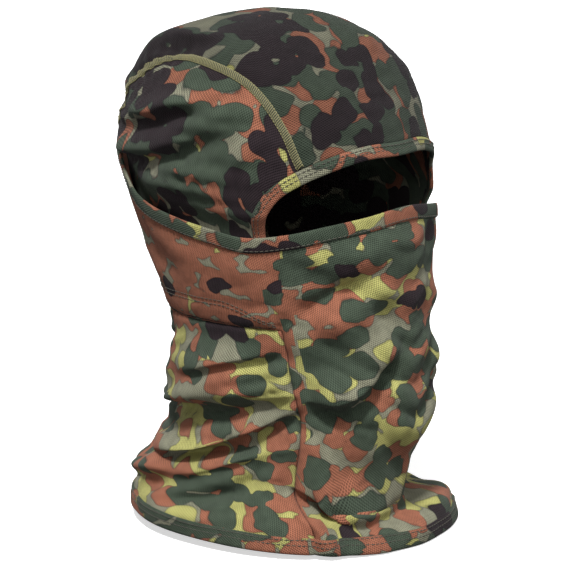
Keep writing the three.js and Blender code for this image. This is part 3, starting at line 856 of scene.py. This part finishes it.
def camo(name, seed, looks, painted_shade=1.0):
    """Knit with a print of merging spots, its colours laid in turn over grey; the last argument
    darkens all of it as painted shade.
    """
    nodes = Nodes(name)
    place = nodes.add("ShaderNodeUVMap", uv_map="UVMap").outputs[0]
    parts = nodes.add("ShaderNodeSeparateXYZ")
    nodes.join(place, parts.inputs[0])
    across = parts.outputs["X"]
    _, drift = nodes.noise(place, 62, 1.0)
    drift = nodes.vector("SCALE", nodes.vector("SUBTRACT", drift, (0.5, 0.5, 0.5)), 0.014)
    warped = nodes.vector("MULTIPLY", nodes.vector("ADD", place, drift), PRINT_STRETCH)
    colour = GREY
    for layer, look in enumerate(looks):
        offset = (seed + 7.3 * layer, 3.1 * seed - 5.7 * layer, 0)
        field = blobs(nodes, warped, across, look, offset)
        rim = nodes.maths("ABSOLUTE", nodes.maths("SUBTRACT", field, 0.24))
        rim = nodes.ease(rim, 0.03, 0.17, 0.75, 0.0)
        colour = nodes.mix(nodes.ease(field, 0.20, 0.28), colour, look.tint)
        darker = nodes.mix(1.0, colour, (0.5, 0.5, 0.54), "MULTIPLY")
        colour = nodes.mix(rim, colour, darker)
    soft, _ = nodes.noise(place, 160, 3.0)
    tone = nodes.ease(soft, 0.25, 0.75, 0.86, 1.12)
    yarn = knit_height(nodes, place)
    # Painted shade in the knit's holes and painted highlight on its yarn, over a random tone, times
    # the part's painted shade.
    knit_shade_and_tone = nodes.maths("MULTIPLY", nodes.ease(yarn, 0, 1, 0.52 * painted_shade, 1.12 * painted_shade), tone)
    shaded = nodes.add("ShaderNodeVectorMath", operation="SCALE")
    nodes.put(shaded.inputs[0], colour)
    nodes.put(shaded.inputs["Scale"], knit_shade_and_tone)
    fuzz, _ = nodes.noise(place, 2600, 2.0)
    height = nodes.maths("ADD", yarn, nodes.maths("MULTIPLY", fuzz, 0.35))
    values = {"Roughness": 0.82, "Specular IOR Level": 0.16, "Sheen Weight": 0.05,
              "Sheen Roughness": 0.45}
    return finish_material(nodes, values, shaded.outputs[0], height, 0.75, 0.0004)


def thread(name, tint):
    """Spun thread in one colour."""
    nodes = Nodes(name)
    place = nodes.add("ShaderNodeTexCoord").outputs["Object"]
    grain, _ = nodes.noise(place, 1400, 2.0)
    low = tuple(0.6 * part for part in tint)
    high = tuple(min(1.25 * part, 1) for part in tint)
    values = {"Roughness": 0.7, "Sheen Weight": 0.15}
    return finish_material(nodes, values, nodes.mix(grain, low, high), grain, 0.4, 0.0002)


def floor_material():
    nodes = Nodes("floor")
    values = {"Base Color": (0.88, 0.88, 0.88, 1), "Roughness": 1,
              "Emission Color": (1, 1, 1, 1), "Emission Strength": 0.6}
    return finish_material(nodes, values)


HOOD_PRINT = [Look(SAGE, 0.06), Look(BROWN, 0.50), Look(DARK, 0.66, 0.013),
              Look(BLACK, 0.47, 0.011, 2.6, 0.5)]
NECK_PRINT = [Look(SAGE, 0.66, 0.015), Look(BROWN, 0.42, 0.013), Look(DARK, 0.30),
              Look(BLACK, 0.01, patchy=0.1)]
MASK_PRINT = [Look(SAGE, 0.50, 0.014, aside=-0.35), Look(BROWN, 0.50, 0.013, aside=0.9),
              Look(DARK, 0.42, 0.013, aside=-0.5), Look(BLACK, 0.03, 0.011, 0.2, aside=0.03)]
HEM_PRINT = [Look(SAGE, 0.2), Look(BROWN, 0.5), Look(DARK, 0.5), Look(BLACK, 0.1)]
# The last number darkens a part's whole print as painted shade: most on the crown, less on the skirt
# hem, the hood sides and the hems.
CAMO = {
    "crown": camo("camo_crown", 11.0, HOOD_PRINT, 0.54),
    "side_right": camo("camo_side_right", 23.0, HOOD_PRINT, 0.9),
    "side_left": camo("camo_side_left", 31.0, HOOD_PRINT, 0.9),
    "mask": camo("camo_mask", 4.0, MASK_PRINT),
    "neck": camo("camo_neck", 58.0, NECK_PRINT),
    "hem": camo("camo_hem", 66.0, HEM_PRINT, 0.92),
    "skirt_hem": camo("camo_skirt_hem", 71.0, HEM_PRINT, 0.85),
}
OLIVE_THREAD = thread("olive_thread", OLIVE)
SEAM_SHADE = thread("seam_shade", SHADE)
# Stitch rows in painted shade: near-black where their olive thread sinks into the cloth.
STITCH_SHADE_THREAD = thread("stitch_shade_thread", STITCH_SHADE)


def finish_piece(piece, slot, *nodes, moving=False):
    """Ties a piece to the hood's body, or bakes a moving piece's place into its points, and hides
    the nodes that it stands for; its slot is not used.
    """
    if moving:
        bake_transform(piece)
    else:
        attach(piece, "hood")
    if nodes:
        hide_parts(*nodes)
    return piece


def puckers(points, line):
    """Short ripples across the crown seam, strongest high on the back of the head."""
    share = np.linspace(0, 1, 160)
    samples = line(share)
    spots = points.reshape(-1, 3)
    gap = np.stack([((spots - sample) ** 2).sum(-1) for sample in samples], 1)
    near = gap.argmin(1)
    distance = np.sqrt(gap[np.arange(len(spots)), near])
    along = share[near] * line.length
    strength = 0.25 + 0.95 * smooth(share[near], 0.3, 0.5) * (1 - smooth(share[near], 0.8, 0.95))
    wave = np.sin(along / 1.45 + 1.3 * np.sin(along / 11))
    swell = wave * strength * np.exp(-((distance / 9) ** 2))
    swell *= 1 - np.exp(-((distance / 2.4) ** 2))
    draw_in = 0.7 * np.exp(-((distance / 4.5) ** 2))
    return (swell - draw_in).reshape(points.shape[:-1])


def cheek_turn(points, angle):
    """The hood is worn turned a little: its left cheek lies further round to the front."""
    cheek = smooth(-angle, 18, 58) * (1 - smooth(-angle, 78, 140))
    cheek = cheek * smooth(points[..., 2], NAPE_SEAM, 160)
    cheek = cheek * (1 - smooth(points[..., 2], 188, 214))
    return on_form(angle + CHEEK_TURN * cheek, points[..., 2]) - on_form(angle, points[..., 2])


def hood_surface(points):
    """Sets a hood patch in under the mask and lays its drape folds."""
    normals = normals_at(points)
    inset = hood_inset(points)
    draped = folded(points, normals, HOOD_FOLDS)
    for line in CROWN_SEAMS.values():
        draped = draped + normals * puckers(points, line)[..., None]
    angle = angle_of(points)
    turn = np.abs(angle)
    where = smooth(turn, 62, 96) * (1 - smooth(points[..., 2], 236, 264)) + 0.22
    bulge = (rumples(points, angle, *HOOD_RUMPLES) - 0.45) * HOOD_PUFF * where
    draped = draped + normals * bulge[..., None]
    free = smooth(inset, HOOD_INSET, 0)
    worn = points + cheek_turn(points, angle)
    return worn - normals * inset[..., None] + (draped - points) * free[..., None]


def coons(bottom, top, start, end):
    """The patch between four edges given as arrays of points, pressed onto the form."""
    u = np.linspace(0, 1, len(bottom))[:, None, None]
    v = np.linspace(0, 1, len(start))[None, :, None]
    ruled = bottom[:, None] * (1 - v) + top[:, None] * v + start[None] * (1 - u) + end[None] * u
    corners = (bottom[0] * (1 - u) * (1 - v) + bottom[-1] * u * (1 - v)
               + top[0] * (1 - u) * v + top[-1] * u * v)
    return project(ruled - corners)


def make_hood():
    """The crown and the two sides, each a patch between its seams."""
    nape = CROWN_SEAM[-1]
    long_share = np.linspace(0, 1, 121)
    across = np.linspace(-1, 1, 73)
    front = facing_edge(np.abs(across) * CROWN_SEAM_START)
    front[:, 0] = np.abs(front[:, 0]) * -np.sign(across)
    back = on_form(np.linspace(-nape[0], nape[0] - 360, len(across)), nape[1] * TALL)
    left, right = CROWN_SEAMS["left"](long_share), CROWN_SEAMS["right"](long_share)
    base = coons(left, right, front, back)
    crown = hood_surface(base)
    piece = grid_piece("crown_panel_cloth", crown[::-1], ring_uv(base)[::-1], CAMO["crown"])
    finish_piece(piece, "camo_knit_hood", "crown_panel")
    made = {"crown": piece}
    top_share = np.linspace(0, SEAM_CORNER, 85)
    back_share = np.linspace(1, SEAM_CORNER, 49)
    for side, word in ((1, "right"), (-1, "left")):
        flip = np.array([side, 1, 1])
        seam = CROWN_SEAMS["right"]
        edge = facing_edge(np.linspace(1, CROWN_SEAM_START, len(back_share)))
        foot = np.linspace(angle_of(edge[0]), nape[0], len(top_share))
        bottom = on_form(foot, np.linspace(edge[0][2], nape[1] * TALL, len(top_share)))
        bottom[-1] = seam(1.0)
        patch = coons(bottom, seam(top_share), edge, seam(back_share)) * flip
        cloth = hood_surface(patch)
        uv = ring_uv(patch)
        if side < 0:
            cloth, uv = cloth[::-1], uv[::-1]
        piece = grid_piece(f"hood_side_{word}_cloth", cloth, uv, CAMO[f"side_{word}"])
        finish_piece(piece, "camo_knit_hood", f"hood_side_{word}")
        made[word] = piece
    return made


def bar_section(width, height, sink=0.4):
    """A flat bar's rounded section: across from 0 to width, out from -sink to height."""
    return [(0.0, -sink), (0.0, height * 0.45), (width * 0.06, height * 0.85),
            (width * 0.2, height), (width * 0.5, height * 1.05), (width * 0.8, height),
            (width * 0.94, height * 0.85), (width, height * 0.45), (width, -sink)]


def laid(line, share, across, out):
    """Points beside a line on the hood, out from its draped surface."""
    points = beside(line, share, across)
    surface = hood_surface(points)
    return surface + normals_at(points) * np.asarray(out)[..., None]


def make_crown_seams():
    """The flatlock seams: a dark strip of painted shade, slanting rungs over it and a row along each
    edge.
    """
    share = np.linspace(0.004, 1, 170)
    for word, line in CROWN_SEAMS.items():
        # A near-black strip under the rungs: painted shade in the seam.
        rails = [laid(line, share, -2.1 + across, out)
                 for across, out in bar_section(4.2, 0.55)]
        seam_shade_strip = sweep(f"crown_seam_shade_strip_{word}", np.stack(rails, 1), SEAM_SHADE, False)
        finish_piece(seam_shade_strip, "olive_thread", f"crown_seam_{word}")
        count = int(line.length / 1.25)
        steps = np.linspace(0.006, 0.995, count)
        slant = 0.9 / line.length
        ends = [laid(line, steps - slant, -1.9, 0.62), laid(line, steps, -0.6, 0.95),
                laid(line, steps + slant * 0.4, 0.6, 0.95), laid(line, steps + slant, 1.9, 0.62)]
        rungs = threads(f"crown_seam_rungs_{word}", np.stack(ends, 1), 0.24, OLIVE_THREAD)
        finish_piece(rungs, "olive_thread")
        side = 1 if word == "right" else -1
        for edge in (-2.0, 2.0):
            place = "in" if edge * side > 0 else "out"
            path = laid(line, share, edge, 0.42)
            row = stitches(f"crown_seam_row_{word}_{place}", path, normals_at(path), OLIVE_THREAD,
                           False, pitch=2.0, length=1.9, radius=0.26)
            finish_piece(row, "olive_thread")


def threads(name, paths, radius, material):
    """Threads of one radius along paths[i]."""
    forward = unit(np.gradient(paths, axis=1))
    up = unit(np.cross(forward, np.roll(forward, 1, 2) + 0.37))
    side = np.cross(forward, up)
    return round_threads(name, paths, side, up, np.full(paths.shape[1], radius), material)


# Sections: across from the free edge, and out from the cloth.
FACING_SECTION = [(0.5, -1.2), (0.0, -0.5), (0.0, 0.3), (0.6, 0.95), (2.2, 1.1), (4.5, 1.1),
                  (6.4, 1.05), (7.3, 0.8), (7.8, 0.1), (7.6, -0.9), (4, -1.2)]
HEM_SECTION = [(7.6, -0.9), (4.0, -1.1), (1.0, -1.0), (-0.15, -0.5), (-0.3, 0.2), (0.2, 0.8),
               (1.4, 1.1), (4.0, 1.15), (6.6, 1.1), (7.8, 0.8), (8.3, 0.1), (8.2, -0.5)]


def sew(name, path, ways, *nodes, ring=False, moving=False):
    """One row of stitches, dark all over as painted shade of the sunken stitch line, finished."""
    row = stitches(name, path, ways, STITCH_SHADE_THREAD, ring)
    finish_piece(row, "olive_thread", *nodes, moving=moving)


def make_facing():
    share = np.linspace(0, 1, 190)
    wave = 0.12 * np.sin(share * OPENING.length / 2.1)
    rails = [laid(OPENING, share, across, out + wave * (across > 3))
             for across, out in FACING_SECTION]
    facing = sweep("face_facing_fold", np.stack(rails, 1), CAMO["hem"], False)
    finish_piece(facing, "camo_knit_hem", "face_facing")
    for word, across in (("outer", 6.0), ("inner", 3.6)):
        path = laid(OPENING, share, across, 1.12 + wave)
        sew(f"facing_stitches_{word}", path, normals_at(path), f"facing_stitch_{word}")


class Tube:
    """The settled tube, and places on it by column and height."""

    def __init__(self):
        self.angle, self.height, points, out = tube_shape()
        points = cloth_settle(points)
        points = keep_clear(points, self.angle, self.height, out)
        self.points = self.seamed(points, out)
        self.normals = grid_normals(self.points)

    def seamed(self, points, out):
        """Draws the cloth in along the side seams, the band seam and the band's stitches."""
        dent = np.zeros(points.shape[:2])
        for column in (0, FRONT_COLUMNS):
            gap = np.abs((np.arange(COLUMNS) - column + COLUMNS // 2) % COLUMNS - COLUMNS // 2)
            below = (np.arange(ROWS + 1) <= BAND_START + 2)
            dent += np.exp(-(gap[:, None] / 0.8) ** 2) * below * 2.2
        back = np.ones(COLUMNS)
        back[:FRONT_COLUMNS + 1] = 0
        rows = np.abs(np.arange(ROWS + 1) - BAND_START)
        dent += np.exp(-(rows[None] / 0.8) ** 2) * back[:, None] * 1.7
        stitch = np.exp(-(((self.height - NAPE_SEAM * TALL - 1.2) / 3.0) ** 2)) * back[:, None]
        pucker = 0.35 * np.sin(np.arange(COLUMNS) * 1.9)[:, None] * np.exp(-(rows[None] / 3.5) ** 2)
        dent += 0.6 * stitch + pucker * back[:, None]
        return points - out * dent[..., None]

    def at(self, height_of_column, out=0.0, columns=None):
        """Points at one height in each column, out from the cloth."""
        picked = range(COLUMNS) if columns is None else columns
        places, ways = [], []
        for column, height in zip(picked, height_of_column):
            rows = self.height[column]
            places.append([np.interp(height, rows, self.points[column, :, a]) for a in range(3)])
            ways.append([np.interp(height, rows, self.normals[column, :, a]) for a in range(3)])
        ways = unit(np.array(ways))
        return np.array(places) + ways * np.asarray(out, float)[..., None], ways


def hem_rails(tube, edge, upwards):
    """The hem section round the tube, from its free edge up (1) or down (-1)."""
    wave = 0.16 * np.sin(np.arange(COLUMNS) * 2.6)
    rails = []
    for across, out in HEM_SECTION:
        inside = edge + upwards * max(across, 0.0)
        rail, _ = tube.at(inside, out + wave * (2 < across < 7))
        rail[:, 2] += upwards * min(across, 0.0)
        rails.append(rail)
    return np.stack(rails, 1)


def make_mask(tube):
    """The mask and its band round the nape: one cloth, cut at the centre back."""
    middle = FRONT_COLUMNS + BACK_COLUMNS // 2
    points = np.roll(tube.points, -middle, 0)
    points = np.concatenate([points, points[:1]])
    uv = ring_uv(points)
    start = COLUMNS - middle
    uv[..., 0] -= uv[start + FRONT_COLUMNS // 2, 0, 0]
    faces = []
    columns = np.array(grid_faces(COLUMNS, ROWS, False)).reshape(COLUMNS, ROWS, 4)
    for column, face_rows in enumerate(columns):
        in_front = start <= column < start + FRONT_COLUMNS
        lowest = 1 if in_front else BAND_START
        faces += [tuple(face) for face in face_rows[lowest:ROWS - 1].tolist()]
    piece = make_piece("mask_cloth", points, faces, CAMO["mask"], uv)
    drop_loose(piece)
    thicken(piece)
    return finish_piece(piece, "camo_knit", "mask_front", "neck_front_panel", "mask_band_right",
                        "mask_band_left", moving=True)


def drop_loose(piece):
    """Deletes points that no face uses."""
    work = bmesh.new()
    work.from_mesh(piece.data)
    loose = [corner for corner in work.verts if not corner.link_faces]
    bmesh.ops.delete(work, geom=loose, context="VERTS")
    work.to_mesh(piece.data)
    work.free()


def make_tube(tube):
    """The mask and neck cloths, the two hems, their stitches and the sewn edges inside."""
    made = {"mask": make_mask(tube)}
    wrapped = np.concatenate([tube.points, tube.points[:1]])[FRONT_COLUMNS:, 1:BAND_START + 1]
    neck = grid_piece("neck_back_cloth", wrapped, ring_uv(wrapped), CAMO["neck"])
    made["neck"] = finish_piece(neck, "camo_knit", "neck_back_panel", moving=True)
    edge = tube.height[:, -1]
    hem = sweep("mask_hem_fold", hem_rails(tube, edge, -1), CAMO["hem"], True)
    made["mask_hem"] = finish_piece(hem, "camo_knit_hem", "mask_hem_front", "mask_hem_back",
                                    moving=True)
    path, ways = tube.at(edge - 7.0, 1.12)
    sew("mask_hem_stitches", path, ways, "mask_hem_stitch_front", "mask_hem_stitch_back",
        ring=True, moving=True)
    foot = tube.height[:, 0]
    bottom = sweep("bottom_hem_fold", hem_rails(tube, foot, 1), CAMO["skirt_hem"], True)
    made["bottom_hem"] = finish_piece(bottom, "camo_knit_hem", "bottom_hem")
    for word, height in (("upper", 6.9), ("lower", 4.3)):
        path, ways = tube.at(foot + height, 1.14)
        sew(f"bottom_hem_stitches_{word}", path, ways, f"bottom_hem_stitch_{word}", ring=True)
    columns = range(FRONT_COLUMNS + 1, COLUMNS)
    turn = from_front(tube.angle[FRONT_COLUMNS + 1:, BAND_START])
    for word, rise in (("upper", 2.6), ("lower", 0)):
        level_row = (NAPE_SEAM + rise) * TALL
        corner = BAND_SEAM * TALL + 1.4 + 0.4 * rise
        height = corner + (level_row - corner) * smooth(turn, 58, 84)
        path, ways = tube.at(height, 0.06, columns)
        sew(f"band_stitches_{word}", path, ways, f"band_stitch_{word}", moving=True)
    make_allowances(tube)
    return made


def strip_rails(path, ways, along, half, out, thick):
    """A flat strip's section swept along a path: half its width along, out from the cloth."""
    corners = [(-half, out), (half, out), (half, out - thick), (-half, out - thick)]
    return np.stack([path + along * side + ways * away for side, away in corners], 1)


def make_allowances(tube):
    """The sewn edges inside the tube, seen only from below."""
    columns = range(FRONT_COLUMNS + 1, COLUMNS)
    height = np.full(len(columns), (BAND_SEAM + 6) * TALL)
    path, ways = tube.at(height, 0.0, columns)
    up = np.tile([0.0, 0, 1], (len(columns), 1))
    rails = strip_rails(path, ways, up, 5.5, -2.2, 0.8)
    nape = sweep("nape_allowance", rails, CAMO["crown"], False)
    finish_piece(nape, "camo_knit_hood", "nape_seam_allowance", moving=True)
    seams = {"side_allowance_right": (FRONT_COLUMNS, 1, BAND_START, "side_seam_right"),
             "side_allowance_left": (0, 1, BAND_START, "side_seam_left"),
             "centre_back_seam": (FRONT_COLUMNS + BACK_COLUMNS // 2, BAND_START, FOOT_ROW,
                                  "centre_back_allowance")}
    for name, (column, low, high, node) in seams.items():
        rows = slice(low + 4, high - 1)
        path, ways = tube.points[column, rows], tube.normals[column, rows]
        along = unit(np.cross(ways, unit(np.gradient(path, axis=0))))
        rails = strip_rails(path, ways, along, 2.6, -1.1, 0.8)
        strip = sweep(name, rails, CAMO["mask"], False)
        finish_piece(strip, "camo_knit", node, moving=True)


# ---- camera, light and floor ---------------------------------------------------------------------
CAMERA_AZIMUTH, CAMERA_ELEVATION = -50, 12  # on the wearer's right front, a little above
CAMERA_DISTANCE = 1.3
LENS = 141.5
TARGET_RISE = 0.1339  # above the bottom hem
FLOOR_DROP = 0.0006
FLOOR_REACH = 6.0
# Suns: name, azimuth, elevation, strength and spread.
SUNS = [("key", -62, 60, 3.5, 10), ("fill", 0, 36, 0.4, 40), ("rim", 150, 50, 0.5, 40)]
FRONT_LIGHT = (-38, 38)  # azimuth and elevation
FRONT_DISTANCE = 0.55
FRONT_AIM = 0.17  # above the bottom hem


def direction(azimuth, elevation):
    """Unit vector towards an azimuth from the front and an elevation, in degrees."""
    a, e = math.radians(azimuth), math.radians(elevation)
    return Vector((math.sin(a) * math.cos(e), -math.cos(a) * math.cos(e), math.sin(e)))


def make_camera():
    """The photo's view."""
    back = direction(CAMERA_AZIMUTH, CAMERA_ELEVATION)
    data = bpy.data.cameras.new("camera")
    data.lens = LENS
    data.sensor_width = 36
    data.clip_end = 50
    camera = add_object("camera", data)
    camera.location = Vector((0, 0, HEM_Z + TARGET_RISE)) + back * CAMERA_DISTANCE
    camera.rotation_mode = "QUATERNION"
    camera.rotation_quaternion = (-back).to_track_quat("-Z", "Y")
    bpy.context.scene.camera = camera


def make_floor():
    """A white floor that sends no light onto the cloth."""
    low, reach = HEM_Z - FLOOR_DROP, FLOOR_REACH
    mesh = bpy.data.meshes.new("floor")
    corners = [(-reach, -reach, low), (reach, -reach, low), (reach, reach, low),
               (-reach, reach, low)]
    mesh.from_pydata(corners, [], [(0, 1, 2, 3)])
    mesh.materials.append(floor_material())
    floor = add_object("floor", mesh)
    floor.visible_diffuse = False
    floor.visible_glossy = False


def make_world():
    """Bright at the horizon, dimmer overhead and dark under the floor."""
    world = bpy.data.worlds.new("studio")
    world.use_nodes = True
    tree = world.node_tree
    way = tree.nodes.new("ShaderNodeTexCoord")
    split = tree.nodes.new("ShaderNodeSeparateXYZ")
    tree.links.new(way.outputs["Generated"], split.inputs[0])
    glow = tree.nodes.new("ShaderNodeMath")
    glow.operation = "MULTIPLY"
    for slot, marks in enumerate(((0.14, 0.30, 1.0, 0.20), (-0.11, -0.06, 0.12, 1.0))):
        ramp = tree.nodes.new("ShaderNodeMapRange")
        ramp.interpolation_type = "SMOOTHSTEP"
        tree.links.new(split.outputs["Z"], ramp.inputs[0])
        for socket, value in zip(ramp.inputs[1:5], marks):
            socket.default_value = value
        tree.links.new(ramp.outputs[0], glow.inputs[slot])
    tree.links.new(glow.outputs[0], tree.nodes["Background"].inputs[1])
    tree.nodes["Background"].inputs[0].default_value = (1, 1, 1, 1)
    bpy.context.scene.world = world


def place_light(name, data, way, location):
    """A lamp at a location that shines against way."""
    lamp = add_object(name, data)
    lamp.location = location
    lamp.rotation_mode = "QUATERNION"
    lamp.rotation_quaternion = (-way).to_track_quat("-Z", "Y")


def make_lights():
    """Three suns and a soft lamp before the face."""
    for name, azimuth, elevation, strength, spread in SUNS:
        data = bpy.data.lights.new(name, "SUN")
        data.energy = strength
        data.angle = math.radians(spread)
        way = direction(azimuth, elevation)
        place_light(name, data, way, way)
    data = bpy.data.lights.new("front", "AREA")
    data.size = 0.3
    data.energy = 0.9
    way = direction(*FRONT_LIGHT)
    place_light("front", data, way, Vector((0, 0, HEM_Z + FRONT_AIM)) + way * FRONT_DISTANCE)


def make_stage():
    make_camera()
    make_floor()
    make_world()
    make_lights()
    bpy.context.scene.view_settings.view_transform = "Standard"


make_stage()
hood = make_hood()
make_crown_seams()
make_facing()
tube_pieces = make_tube(Tube())
